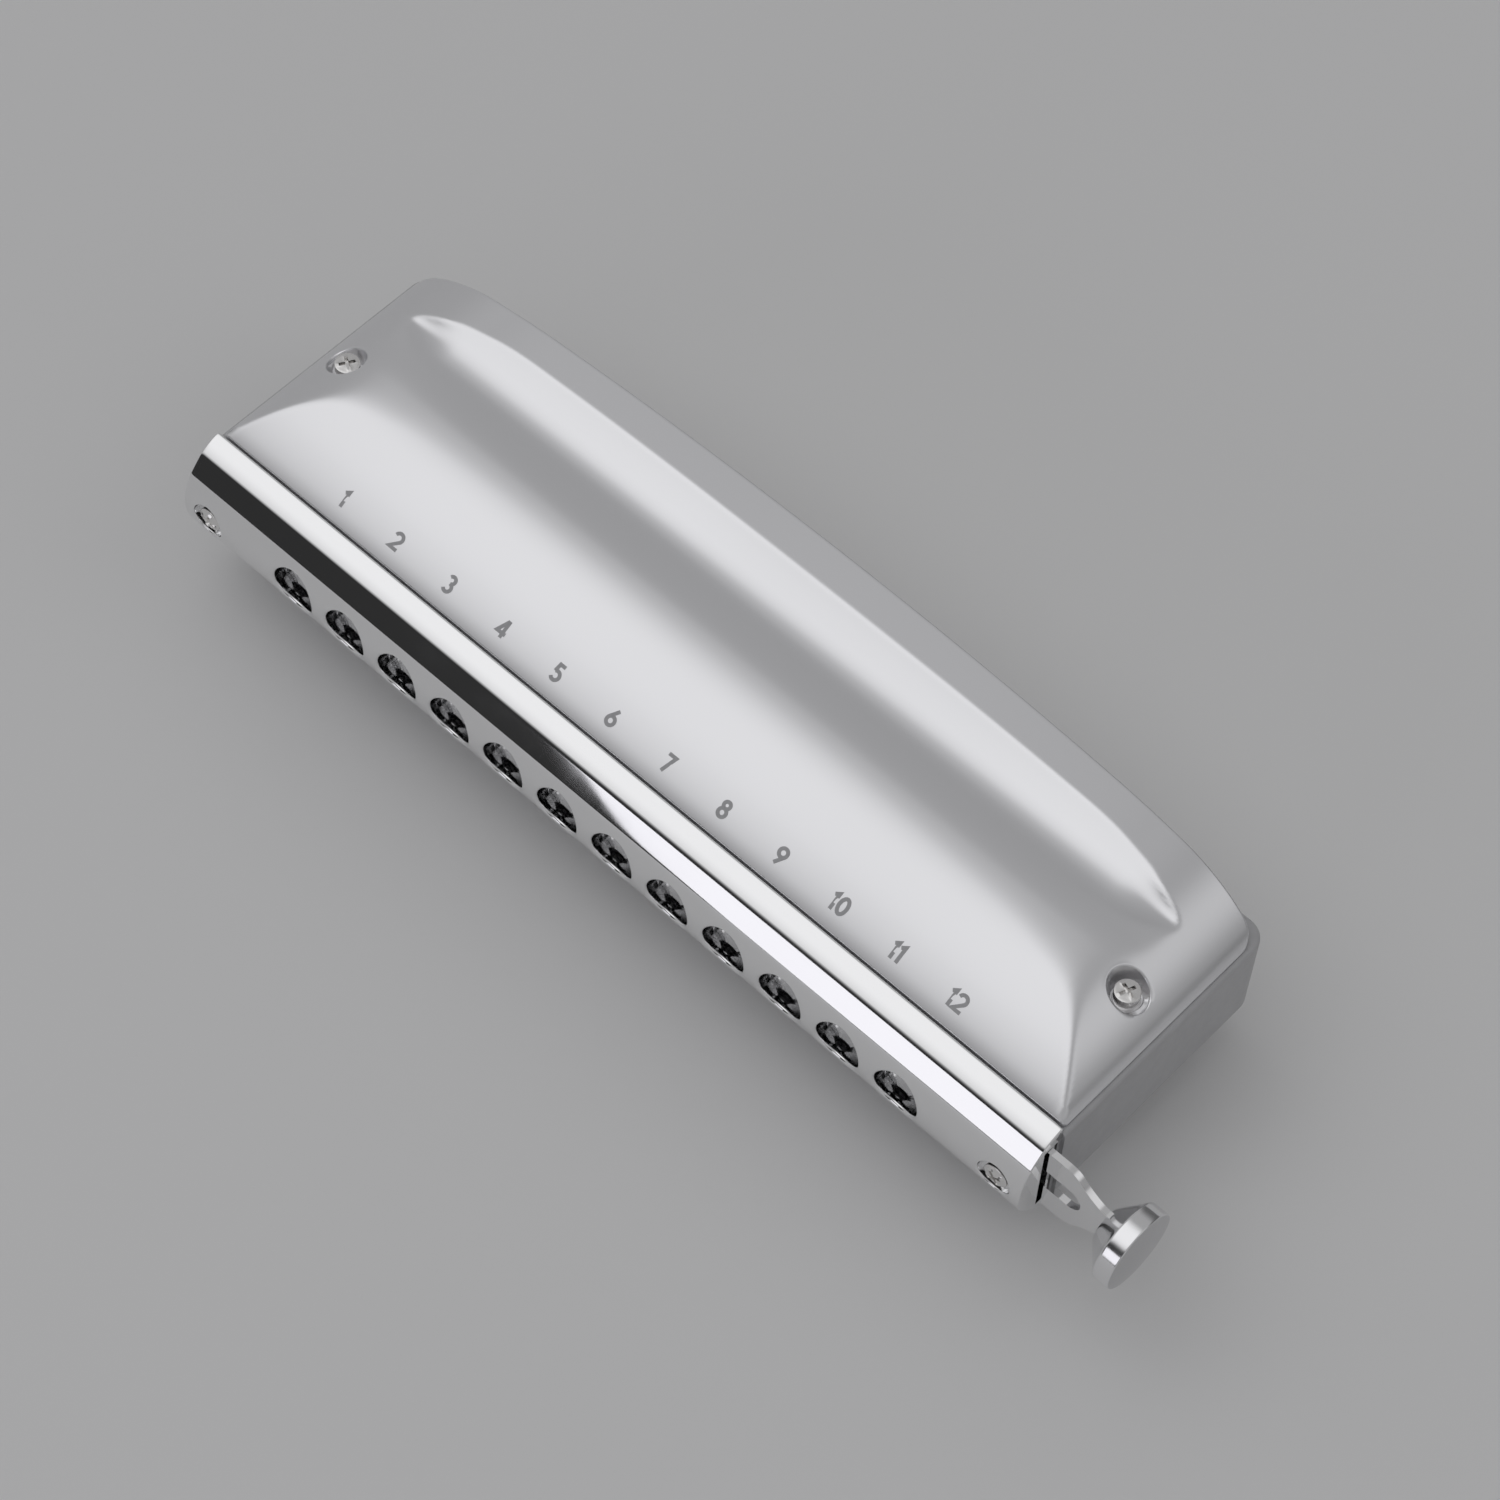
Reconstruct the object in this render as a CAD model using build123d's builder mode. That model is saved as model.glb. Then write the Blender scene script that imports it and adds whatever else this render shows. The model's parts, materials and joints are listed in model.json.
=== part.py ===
from build123d import *
import os

os.makedirs("parts", exist_ok=True)

# A 12-hole slide chromatic harmonica, in millimetres.
# Driving dimensions. Unless a name says otherwise, places are measured from the datum: the point on
# the comb's front face that is half way along it and half way up it. Depth runs from the player (-)
# to the back (+), height is up, and across runs from hole 1 (-) to the button (+).

# Holes and notes
hole_count = 12
hole_pitch = 9.4
hole_radius = 3.45
hole_rim_round = 0.35
window_width = 4.3
window_low = 0.5
window_high = 3.25

# Comb
comb_length = 143.8
comb_depth = 37.7
comb_top = 7.6
comb_corner = 3.0
comb_edge_round = 0.7
cell_width = 7.6
cell_front = 2.0
cell_rear = 33.0
cell_floor = 0.7
cell_corner = 1.0
nose_clearance = 0.2
boss_radius = 2.8
boss_top = 9.7
insert_radius = 1.8
insert_bore = 1.02
thread_clearance = 0.02
bore_spare = 0.4

# Reed plates, reeds and valves
plate_half_length = 61.5
plate_front = 1.05
plate_rear = 36.65
plate_thickness = 1.0
plate_gap = 0.05
plate_corner = 0.5
slot_offset = 1.95
slot_width = 2.1
slot_middle = 17.5
slot_longest = 19.5
slot_step = 0.85
tongue_width = 1.9
tongue_thickness = 0.2
tongue_gap = 0.15
pad_length = 3.0
pad_thickness = 0.35
valve_width = 2.5
valve_overhang = 0.7
valve_thickness = 0.15
rivet_radius = 0.5
rivet_head_radius = 0.8
rivet_head = 0.25
rivet_tail_radius = 0.7
rivet_tail = 0.15
plate_screw_places = [(-58.6, 7), (-58.6, 30), (58.6, 7), (58.6, 30), (-28.2, 35), (0, 35), (28.2, 35)]
plate_screw_radius = 0.75
plate_screw_hole = 0.95
plate_screw_head = 1.3
plate_screw_head_height = 0.5
plate_screw_length = 5.0

# Covers
cover_half_length = 71.2
cover_front = 0.3
cover_side_rear = 35.5
cover_rear = 38.1
cover_front_corner = 0.9
cover_rear_corner = 2.6
cover_height = 16.1
cover_skin = 0.8
cover_skin_drop = 0.92
# depth and height along the skin's middle: front slope, shallow valley and the rise to the ridge
cover_slope = [
    (-0.7, 7.95),
    (0.3, 8.7),
    (5.3, 11.65),
    (10.8, 13.92),
    (18.0, 15.0),
    (22.6, 14.4),
    (25.4, 13.95),
    (29.3, 14.55),
    (32.8, 16.2),
    (35.5, 17.9),
]
# distance from the middle and height of the long arch that falls away to both ends
cover_arch = [(0, cover_height), (50, 15.6), (60, 14.8), (66, 12.45), (70, 9.7), (71.4, 7.8)]
rear_opening_start = 33.5
rear_opening_half = 61.0
rear_opening_top = 13.2
rear_opening_corner = 3.0
cover_screw_across = 65.88
cover_screw_depth = 17.48
recess_radius = 2.6
recess_wall = 0.75
recess_floor = 10.4
cover_screw_hole = 1.15
cover_screw_radius = 1.0
cover_screw_head = 1.68
cover_screw_head_height = 1.8
cover_screw_length = 9.0
cross_length = 1.9
cross_width = 0.4
cross_depth = 0.6

# Mouthpiece
mouth_half_length = 71.5
mouth_front = -6.9
mouth_back_top = 9.05
strip_middle = (-1.75, 8.52)
strip_edge = (-3.33, 7.6)
chamfer_edge = (-5.27, 5.42)
mouth_back_round = 0.35
pocket_left = -65.4
pocket_depth = 3.1
pocket_half_height = 6.5
mouth_screw_across = 67.38
mouth_screw_recess = 2.5
mouth_screw_seat = -5.6
mouth_screw_hole = 1.05
mouth_screw_radius = 1.0
mouth_screw_head = 1.85
mouth_screw_head_height = 1.0
mouth_screw_head_round = 0.3
mouth_screw_reach = 7.5

# Slide, its cage, and the button
slide_depth = -2.1
slide_thickness = 0.9
slide_gap = 0.05
cage_thickness = 0.5
cage_left = -57.6
cage_front_right = 64.5
cage_back_right = 71.4
cage_half_height = 6.4
slide_left = -57.0
slide_shoulder = 74.6
slide_waist = [(76.0, 6.0), (77.5, 4.7), (79.6, 3.35)]
slide_half_height = 6.35
slide_travel = 4.7
neck_end = 80.9
neck_half_height = 3.0
neck_slope = 0.15
slot_right = 77.3
slot_half_height = 1.9
bumper_radius = 1.6
bumper_gap = 0.05
tab_end = 82.3
cone_start_radius = 2.5
cone_end = 83.45
cone_radius = 5.35
rim_start = 83.6
rim_end = 86.0
rim_radius = 5.6
dome = 0.3
post_place = (-63.35, 4.3)
post_radius = 0.9
post_sink = 1.5
bumper_front = -2.8
bumper_rear = -1.65
spring_wire = 0.7
spring_bend = 0.9
spring_corners = [(-65.0, 1.5), (-65.0, -6.0), (-56.88, 0.6), (-59.0, 2.4)]

# Spare lengths of the cuts, and the block the covers are shaped from
cut_margin = 0.5
cut_length = 10.0
block_front = -5.0
block_rear = 45.0
hole_edge_lengths = (20.0, 25.0)

# Worked-out values
button_reach = rim_end + dome
overall_left = -comb_length / 2
datum = (
    -(button_reach + overall_left) / 2,
    -(cover_rear + mouth_front) / 2,
    cover_height,
)
top = Plane(origin=datum)
front = Plane(origin=datum, x_dir=(1, 0, 0), z_dir=(0, -1, 0))
side = Plane(origin=datum, x_dir=(0, 1, 0), z_dir=(1, 0, 0))
hole_places = [(i - (hole_count - 1) / 2) * hole_pitch for i in range(hole_count)]
slot_lengths = [slot_longest - i * slot_step for i in range(hole_count)]
plate_bottom = comb_top - plate_thickness
nose_front = slide_depth + slide_thickness / 2 + slide_gap + 2 * cage_thickness
nose_left = pocket_left + nose_clearance
bore_depth = plate_screw_length + bore_spare
window_height = window_high - window_low
window_middle = (window_high + window_low) / 2
cover_screw_places = [(-cover_screw_across, cover_screw_depth), (cover_screw_across, cover_screw_depth)]
mouth_screw_places = [(-mouth_screw_across, 0), (mouth_screw_across, 0)]


def at_height(height):
    """Plane that looks down, at a height above the datum."""
    return top.offset(height)


def at_depth(depth):
    """Plane that faces the player, at a depth behind the datum."""
    return front.offset(-depth)


def at_side(across):
    """Plane that faces the button's end, at a distance across from the datum."""
    return side.offset(across)


def window_pairs():
    """Rectangles for the upper and lower window of every hole, in the open sketch."""
    with Locations(*[(x, side_of * window_middle) for x in hole_places for side_of in (-1, 1)]):
        Rectangle(window_width, window_height)


# Comb: the body that carries both reed plates, both covers, the cage and the mouthpiece
with BuildPart() as comb:
    with BuildSketch(at_height(-comb_top)):
        with BuildLine():
            Polyline(
                (-comb_length / 2, comb_depth),
                (-comb_length / 2, 0),
                (comb_length / 2, 0),
                (comb_length / 2, comb_depth),
                close=True,
            )
        plan = make_face()
        fillet(plan.vertices().group_by(Axis.Y)[-1], comb_corner)
    extrude(amount=2 * comb_top)
    # rounded edges along both ends and the back
    faces_up_and_down = comb.faces().filter_by(Axis.Z)
    slab_edges = faces_up_and_down.edges().filter_by(lambda edge: edge.center().Y > datum[1] + cut_margin)
    fillet(slab_edges, comb_edge_round)
    # nose that fills the back of the mouthpiece's pocket
    with BuildSketch(at_depth(nose_front)):
        with Locations(((nose_left + cage_back_right) / 2, 0)):
            Rectangle(cage_back_right - nose_left, 2 * cage_half_height)
    extrude(amount=nose_front)
    # bosses that hold the covers' screw recesses
    with BuildSketch(at_height(-boss_top)):
        with Locations(*cover_screw_places):
            Circle(boss_radius)
    extrude(amount=2 * boss_top)
    # seats for the reed plates
    for seat_bottom in (plate_bottom, -comb_top):
        with BuildSketch(at_height(seat_bottom)):
            with Locations((0, (plate_front + plate_rear) / 2)):
                Rectangle(2 * (plate_half_length + plate_gap), plate_rear - plate_front + 2 * plate_gap)
        extrude(amount=plate_thickness, mode=Mode.SUBTRACT)
    # cells, upper and lower
    for cell_bottom in (cell_floor, -plate_bottom):
        with BuildSketch(at_height(cell_bottom)):
            with Locations(*[(x, (cell_front + cell_rear) / 2) for x in hole_places]):
                RectangleRounded(cell_width, cell_rear - cell_front, cell_corner)
        extrude(amount=plate_bottom - cell_floor, mode=Mode.SUBTRACT)
    # windows from the nose into the cells
    with BuildSketch(at_depth(nose_front)):
        window_pairs()
    extrude(amount=nose_front - cell_front - cut_margin, mode=Mode.SUBTRACT)
    # bores for the threaded inserts, the mouthpiece screws and the reed plate screws
    with BuildSketch(at_height(-boss_top)):
        with Locations(*cover_screw_places):
            Circle(insert_radius)
    extrude(amount=2 * boss_top, mode=Mode.SUBTRACT)
    with BuildSketch(at_depth(nose_front)):
        with Locations(*mouth_screw_places):
            Circle(mouth_screw_radius + thread_clearance)
    extrude(amount=nose_front - mouth_screw_reach - bore_spare, mode=Mode.SUBTRACT)
    for bore_bottom in (comb_top - bore_depth, -comb_top):
        with BuildSketch(at_height(bore_bottom)):
            with Locations(*plate_screw_places):
                Circle(plate_screw_radius + thread_clearance)
        extrude(amount=bore_depth, mode=Mode.SUBTRACT)
comb.part.label = "comb"
export_step(comb.part, "parts/comb.step")

# Threaded inserts: brass sleeves pressed through the comb, one under each pair of cover screws
with BuildPart() as threaded_inserts:
    with BuildSketch(at_height(-boss_top)):
        with Locations(*cover_screw_places):
            Circle(insert_radius)
            Circle(insert_bore, mode=Mode.SUBTRACT)
    extrude(amount=2 * boss_top)
threaded_inserts.part.label = "threaded_inserts"
export_step(threaded_inserts.part, "parts/threaded_inserts.step")


def reed_row(inner):
    """Twelve reeds on the upper plate: the blow reeds under it, or the draw reeds on top of it."""
    across = -slot_offset if inner else slot_offset
    face = plate_bottom if inner else comb_top
    outward = -1 if inner else 1
    with BuildPart() as reeds:
        for x, length in zip(hole_places, slot_lengths):
            pad_middle = slot_middle + outward * (length + pad_length) / 2
            tongue_length = length - tongue_gap
            tongue_middle = slot_middle + outward * tongue_gap / 2
            with BuildSketch(at_height(face)):
                with Locations((x + across, pad_middle)):
                    Rectangle(slot_width, pad_length)
                    Circle(rivet_radius, mode=Mode.SUBTRACT)
            extrude(amount=outward * pad_thickness)
            with BuildSketch(at_height(face)):
                with Locations((x + across, tongue_middle)):
                    Rectangle(tongue_width, tongue_length)
            extrude(amount=outward * tongue_thickness)
    return reeds.part


def rivet_places(inner):
    """Middle of each rivet, on the pad end of its slot."""
    across = -slot_offset if inner else slot_offset
    outward = -1 if inner else 1
    return [
        (x + across, slot_middle + outward * (length + pad_length) / 2)
        for x, length in zip(hole_places, slot_lengths)
    ]


# Upper reed plate: brass, two slots to each hole
with BuildPart() as upper_reed_plate:
    with BuildSketch(at_height(plate_bottom)):
        with Locations((0, (plate_front + plate_rear) / 2)):
            RectangleRounded(2 * plate_half_length, plate_rear - plate_front, plate_corner)
        for x, length in zip(hole_places, slot_lengths):
            with Locations((x - slot_offset, slot_middle), (x + slot_offset, slot_middle)):
                Rectangle(slot_width, length, mode=Mode.SUBTRACT)
        with Locations(*rivet_places(True), *rivet_places(False)):
            Circle(rivet_radius, mode=Mode.SUBTRACT)
        with Locations(*plate_screw_places):
            Circle(plate_screw_hole, mode=Mode.SUBTRACT)
    extrude(amount=plate_thickness)
upper_reed_plate.part.label = "upper_reed_plate"
export_step(upper_reed_plate.part, "parts/upper_reed_plate.step")

with BuildPart() as upper_blow_reeds:
    add(reed_row(inner=True))
upper_blow_reeds.part.label = "upper_blow_reeds"
export_step(upper_blow_reeds.part, "parts/upper_blow_reeds.step")

with BuildPart() as upper_draw_reeds:
    add(reed_row(inner=False))
upper_draw_reeds.part.label = "upper_draw_reeds"
export_step(upper_draw_reeds.part, "parts/upper_draw_reeds.step")

# Rivets: the head lies on the reed's pad, the tail is peened on the other face of the plate
with BuildPart() as upper_rivets:
    for inner in (True, False):
        outward = -1 if inner else 1
        pad_face = plate_bottom - pad_thickness if inner else comb_top + pad_thickness
        tail_face = comb_top if inner else plate_bottom
        with BuildSketch(at_height(pad_face)):
            with Locations(*rivet_places(inner)):
                Circle(rivet_head_radius)
        extrude(amount=outward * rivet_head)
        with BuildSketch(at_height(pad_face)):
            with Locations(*rivet_places(inner)):
                Circle(rivet_radius)
        extrude(amount=-outward * (plate_thickness + pad_thickness))
        with BuildSketch(at_height(tail_face)):
            with Locations(*rivet_places(inner)):
                Circle(rivet_tail_radius)
        extrude(amount=-outward * rivet_tail)
upper_rivets.part.label = "upper_rivets"
export_step(upper_rivets.part, "parts/upper_rivets.step")

# Valves: a film strip over every slot, on the face that has no reed
with BuildPart() as upper_valves:
    for x, length in zip(hole_places, slot_lengths):
        with BuildSketch(at_height(comb_top)):
            with Locations((x - slot_offset, slot_middle)):
                Rectangle(valve_width, length + 2 * valve_overhang)
        extrude(amount=valve_thickness)
        with BuildSketch(at_height(plate_bottom)):
            with Locations((x + slot_offset, slot_middle)):
                Rectangle(valve_width, length + 2 * valve_overhang)
        extrude(amount=-valve_thickness)
upper_valves.part.label = "upper_valves"
export_step(upper_valves.part, "parts/upper_valves.step")

with BuildPart() as upper_plate_screws:
    with BuildSketch(at_height(comb_top)):
        with Locations(*plate_screw_places):
            Circle(plate_screw_head)
    extrude(amount=plate_screw_head_height)
    with BuildSketch(at_height(comb_top)):
        with Locations(*plate_screw_places):
            Circle(plate_screw_radius)
    extrude(amount=-plate_screw_length)
upper_plate_screws.part.label = "upper_plate_screws"
export_step(upper_plate_screws.part, "parts/upper_plate_screws.step")


def cover_form(drop, inset):
    """Solid between the comb's top and the cover's skin, with its height and its plan reduced."""
    with BuildPart() as form:
        # plan: straight front and ends, and a rear edge that bows outwards
        half = cover_half_length - inset
        with BuildSketch(at_height(comb_top)) as plan:
            with BuildLine():
                Polyline(
                    (-half, cover_side_rear - inset),
                    (-half, cover_front + inset),
                    (half, cover_front + inset),
                    (half, cover_side_rear - inset),
                )
                ThreePointArc(
                    (-half, cover_side_rear - inset),
                    (0, cover_rear - inset),
                    (half, cover_side_rear - inset),
                )
            make_face()
            fillet(plan.vertices().group_by(Axis.Y)[0], cover_front_corner)
            fillet(plan.vertices().group_by(Axis.Y)[-1], cover_rear_corner)
        extrude(amount=cover_height - comb_top + cut_margin)
        # what lies under the slope, seen from the end
        with BuildSketch(at_side(-comb_length)):
            with BuildLine():
                slope = Spline(*[(depth, height - drop) for depth, height in cover_slope])
                Line(slope @ 1, (block_rear, cover_slope[-1][1] - drop))
                Line((block_rear, cover_slope[-1][1] - drop), (block_rear, 0))
                Line((block_rear, 0), (cover_slope[0][0], 0))
                Line((cover_slope[0][0], 0), slope @ 0)
            make_face()
        extrude(amount=2 * comb_length, mode=Mode.INTERSECT)
        # what lies under the arch, seen from the front
        with BuildSketch(at_depth(block_front)):
            with BuildLine():
                left = [(-across, height - drop) for across, height in reversed(cover_arch[1:])]
                right = [(across, height - drop) for across, height in cover_arch]
                arch = Spline(*left, *right)
                Polyline(arch @ 1, (cover_arch[-1][0], 0), (-cover_arch[-1][0], 0), arch @ 0)
            make_face()
        extrude(amount=block_front - block_rear, mode=Mode.INTERSECT)
    return form.part


# Inside of the cover, with the walls of the screw recesses left standing
with BuildPart() as cover_hollow:
    add(cover_form(cover_skin_drop, cover_skin))
    with BuildSketch(at_height(boss_top)):
        with Locations(*cover_screw_places):
            Circle(recess_radius + recess_wall)
    extrude(amount=cover_height, mode=Mode.SUBTRACT)

# Upper cover: a pressed skin, open at the back, with a recess for each screw
with BuildPart() as upper_cover:
    add(cover_form(0, 0))
    add(cover_hollow.part, mode=Mode.SUBTRACT)
    with BuildSketch(at_depth(rear_opening_start)) as rear_opening:
        with BuildLine():
            Polyline(
                (-rear_opening_half, comb_top - cut_margin),
                (-rear_opening_half, rear_opening_top),
                (rear_opening_half, rear_opening_top),
                (rear_opening_half, comb_top - cut_margin),
                close=True,
            )
        make_face()
        fillet(rear_opening.vertices().group_by(Axis.Z)[-1], rear_opening_corner)
    extrude(amount=-cut_length, mode=Mode.SUBTRACT)
    with BuildSketch(at_height(recess_floor)):
        with Locations(*cover_screw_places):
            Circle(recess_radius)
    extrude(amount=cover_height, mode=Mode.SUBTRACT)
    with BuildSketch(at_height(boss_top - cut_margin)):
        with Locations(*cover_screw_places):
            Circle(cover_screw_hole)
    extrude(amount=cover_height, mode=Mode.SUBTRACT)
upper_cover.part.label = "upper_cover"
export_step(upper_cover.part, "parts/upper_cover.step")

# Upper cover screws: cylindrical heads with a cross recess
with BuildPart() as upper_cover_screws:
    with BuildSketch(at_height(recess_floor)):
        with Locations(*cover_screw_places):
            Circle(cover_screw_head)
    extrude(amount=cover_screw_head_height)
    with BuildSketch(at_height(recess_floor)):
        with Locations(*cover_screw_places):
            Circle(cover_screw_radius)
    extrude(amount=-cover_screw_length)
    with BuildSketch(at_height(recess_floor + cover_screw_head_height)):
        with Locations(*cover_screw_places):
            Rectangle(cross_length, cross_width)
            Rectangle(cross_width, cross_length)
    extrude(amount=-cross_depth, mode=Mode.SUBTRACT)
upper_cover_screws.part.label = "upper_cover_screws"
export_step(upper_cover_screws.part, "parts/upper_cover_screws.step")

# Everything under the comb mirrors what is above it
upper_pieces = {
    "reed_plate": upper_reed_plate,
    "blow_reeds": upper_blow_reeds,
    "draw_reeds": upper_draw_reeds,
    "rivets": upper_rivets,
    "valves": upper_valves,
    "plate_screws": upper_plate_screws,
    "cover": upper_cover,
    "cover_screws": upper_cover_screws,
}
for piece_name, upper_piece in upper_pieces.items():
    with BuildPart() as lower_piece:
        mirror(upper_piece.part, about=top)
    lower_piece.part.label = f"lower_{piece_name}"
    export_step(lower_piece.part, f"parts/lower_{piece_name}.step")

# Mouthpiece: polished bar with a sloping top strip, a chamfer and a curved front, above and below
with BuildPart() as mouthpiece:
    with BuildSketch(at_side(-mouth_half_length)) as section:
        with BuildLine():
            for up in (1, -1):
                ThreePointArc(
                    (strip_edge[0], up * strip_edge[1]),
                    (strip_middle[0], up * strip_middle[1]),
                    (0, up * mouth_back_top),
                )
                Line((strip_edge[0], up * strip_edge[1]), (chamfer_edge[0], up * chamfer_edge[1]))
            ThreePointArc(chamfer_edge, (mouth_front, 0), (chamfer_edge[0], -chamfer_edge[1]))
            Line((0, mouth_back_top), (0, -mouth_back_top))
        make_face()
        fillet(section.vertices().group_by(Axis.Y)[-1], mouth_back_round)
    extrude(amount=2 * mouth_half_length)
    # pocket for the cage and slide, open at the back and at the button's end
    with BuildSketch(at_depth(0)):
        with Locations(((pocket_left + comb_length / 2) / 2, 0)):
            Rectangle(comb_length / 2 - pocket_left, 2 * pocket_half_height)
    extrude(amount=pocket_depth, mode=Mode.SUBTRACT)
    # the twelve holes, with rounded rims
    with BuildSketch(at_depth(0)):
        with Locations(*[(x, 0) for x in hole_places]):
            Circle(hole_radius)
    extrude(amount=cut_length, mode=Mode.SUBTRACT)
    shortest, longest = hole_edge_lengths
    hole_edges = mouthpiece.edges().filter_by(lambda edge: shortest < edge.length < longest)
    rims = hole_edges.group_by(Axis.Y)[0]
    fillet(rims, hole_rim_round)
    # screw holes with flat seats, and the bore of the spring post
    with BuildSketch(at_depth(0)):
        with Locations(*mouth_screw_places):
            Circle(mouth_screw_hole)
    extrude(amount=cut_length, mode=Mode.SUBTRACT)
    with BuildSketch(at_depth(mouth_screw_seat)):
        with Locations(*mouth_screw_places):
            Circle(mouth_screw_recess)
    extrude(amount=cut_length, mode=Mode.SUBTRACT)
    with BuildSketch(at_depth(-pocket_depth)):
        with Locations(post_place):
            Circle(post_radius)
    extrude(amount=post_sink, mode=Mode.SUBTRACT)
mouthpiece.part.label = "mouthpiece"
export_step(mouthpiece.part, "parts/mouthpiece.step")

# Mouthpiece screws: low round heads with a cross recess
with BuildPart() as mouthpiece_screws:
    with BuildSketch(at_depth(mouth_screw_seat)):
        with Locations(*mouth_screw_places):
            Circle(mouth_screw_head)
    extrude(amount=mouth_screw_head_height)
    head_rims = mouthpiece_screws.edges().group_by(Axis.Y)[0]
    fillet(head_rims, mouth_screw_head_round)
    with BuildSketch(at_depth(mouth_screw_seat)):
        with Locations(*mouth_screw_places):
            Circle(mouth_screw_radius)
    extrude(amount=mouth_screw_seat - mouth_screw_reach)
    with BuildSketch(at_depth(mouth_screw_seat - mouth_screw_head_height)):
        with Locations(*mouth_screw_places):
            Rectangle(cross_length, cross_width)
            Rectangle(cross_width, cross_length)
    extrude(amount=-cross_depth, mode=Mode.SUBTRACT)
mouthpiece_screws.part.label = "mouthpiece_screws"
export_step(mouthpiece_screws.part, "parts/mouthpiece_screws.step")


# Cage: the slide runs between a front plate and a back plate, sealed to the comb by a gasket
with BuildPart() as slide_front_plate:
    with BuildSketch(at_depth(-pocket_depth)):
        with Locations(((cage_left + cage_front_right) / 2, 0)):
            Rectangle(cage_front_right - cage_left, 2 * cage_half_height)
        with Locations(*[(x, 0) for x in hole_places]):
            Rectangle(window_width, 2 * window_high, mode=Mode.SUBTRACT)
    extrude(amount=-cage_thickness)
slide_front_plate.part.label = "slide_front_plate"
export_step(slide_front_plate.part, "parts/slide_front_plate.step")


def cage_outline():
    """Rectangle of the back plate and gasket, clear of the right mouthpiece screw, in the open sketch."""
    with Locations(((cage_left + cage_back_right) / 2, 0)):
        Rectangle(cage_back_right - cage_left, 2 * cage_half_height)
    with Locations(mouth_screw_places[1]):
        Circle(mouth_screw_hole, mode=Mode.SUBTRACT)
    with Locations(*[(x, side_of * window_middle) for x in hole_places for side_of in (-1, 1)]):
        Rectangle(window_width, window_height, mode=Mode.SUBTRACT)


with BuildPart() as comb_gasket:
    with BuildSketch(at_depth(nose_front)):
        cage_outline()
    extrude(amount=cage_thickness)
comb_gasket.part.label = "comb_gasket"
export_step(comb_gasket.part, "parts/comb_gasket.step")

with BuildPart() as slide_back_plate:
    with BuildSketch(at_depth(nose_front - cage_thickness)):
        cage_outline()
    extrude(amount=cage_thickness)
slide_back_plate.part.label = "slide_back_plate"
export_step(slide_back_plate.part, "parts/slide_back_plate.step")

# Slide: upper windows stand at the holes, lower windows half a pitch to the right, so that pressing
# the button closes the upper cells and opens the lower ones
with BuildPart() as slide:
    with BuildSketch(at_depth(slide_depth + slide_thickness / 2)):
        with BuildLine():
            for up in (1, -1):
                Polyline(
                    (slide_left, 0),
                    (slide_left, up * slide_half_height),
                    (slide_shoulder, up * slide_half_height),
                )
                Spline(
                    (slide_shoulder, up * slide_half_height),
                    *[(x, up * z) for x, z in slide_waist],
                    (neck_end, up * neck_half_height),
                    tangents=[(1, 0), (1, -neck_slope * up)],
                )
                Polyline(
                    (neck_end, up * neck_half_height),
                    (tab_end, up * neck_half_height),
                    (tab_end, 0),
                )
        make_face()
        with Locations(*[(x, window_middle) for x in hole_places]):
            Rectangle(window_width, window_height, mode=Mode.SUBTRACT)
        with Locations(*[(x + slide_travel, -window_middle) for x in hole_places]):
            Rectangle(window_width, window_height, mode=Mode.SUBTRACT)
        slot_left = mouth_screw_across - bumper_radius - bumper_gap
        with Locations(((slot_left + slot_right) / 2, 0)):
            SlotOverall(slot_right - slot_left, 2 * slot_half_height, mode=Mode.SUBTRACT)
    extrude(amount=slide_thickness)
slide.part.label = "slide"
export_step(slide.part, "parts/slide.step")

# Button: cone, polished rim and a slightly domed face, slotted for the end of the slide's neck
with BuildPart() as slide_button:
    button_axis = Axis(side.from_local_coords((slide_depth, 0, 0)), (1, 0, 0))
    with BuildSketch(Plane(origin=button_axis.position)):
        with BuildLine():
            Polyline(
                (neck_end, 0),
                (neck_end, cone_start_radius),
                (cone_end, cone_radius),
                (rim_start, rim_radius),
                (rim_end, rim_radius),
            )
            TangentArc((rim_end + dome, 0), (rim_end, rim_radius), tangent=(0, 1))
            Line((rim_end + dome, 0), (neck_end, 0))
        make_face()
    revolve(axis=button_axis)
    with BuildSketch(at_depth(slide_depth + slide_thickness / 2)):
        with Locations(((neck_end + tab_end) / 2, 0)):
            Rectangle(tab_end - neck_end, 2 * neck_half_height)
    extrude(amount=slide_thickness, mode=Mode.SUBTRACT)
slide_button.part.label = "slide_button"
export_step(slide_button.part, "parts/slide_button.step")

# Spring: a bent wire that bears on the slide's left end
with BuildPart() as slide_spring:
    with BuildLine(at_depth(slide_depth)):
        wire_path = FilletPolyline(*spring_corners, radius=spring_bend)
    with BuildSketch(Plane(origin=wire_path @ 0, z_dir=wire_path % 0)):
        Circle(spring_wire / 2)
    sweep(path=wire_path)
slide_spring.part.label = "slide_spring"
export_step(slide_spring.part, "parts/slide_spring.step")

# Post at the left end, and the silicone sleeves that the slide stops on at both ends of its travel
with BuildPart() as spring_post:
    with BuildSketch(at_depth(nose_front)):
        with Locations(post_place):
            Circle(post_radius)
    extrude(amount=pocket_depth + post_sink + nose_front)
spring_post.part.label = "spring_post"
export_step(spring_post.part, "parts/spring_post.step")

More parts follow.
